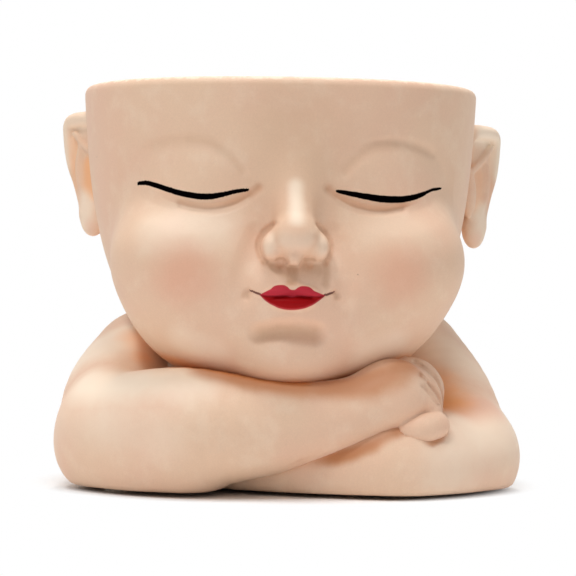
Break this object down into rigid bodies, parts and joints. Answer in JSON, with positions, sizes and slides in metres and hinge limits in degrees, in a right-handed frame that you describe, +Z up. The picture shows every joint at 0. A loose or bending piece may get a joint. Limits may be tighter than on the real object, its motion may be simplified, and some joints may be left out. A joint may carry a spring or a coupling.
{
  "type": "head planter",
  "caption": "Cast resin planter shaped as a sleeping head, open above the brow, chin on folded arms, with a plugged drain.",
  "frame": {"origin": "middle of the box round the whole planter, on the surface that it stands on", "axes": "+X to the figure's left, the face looks along -Y, +Z up"},
  "size_m": [0.1763, 0.1526, 0.1525],
  "materials": {
    "skin": "matte painted cast resin",
    "tube": "matte",
    "plug": "matte",
    "pads": "soft matte foam rubber"
  },
  "bodies": {
    "planter": {"head_bowl": "skin", "right_ear": "skin", "left_ear": "skin", "right_arm": "skin", "left_arm": "skin", "torso": "skin", "drain_tube": "tube", "foot_pad_front_right": "pads", "foot_pad_front_left": "pads", "foot_pad_back_right": "pads", "foot_pad_back_left": "pads"},
    "plug": {"drain_plug": "plug"}
  },
  "joints": [
    {"name": "drain_plug_lift", "type": "slide", "parent": "planter", "child": "plug", "axis": [0, 0, 1], "range_m": [0, 0.114]}
  ]
}
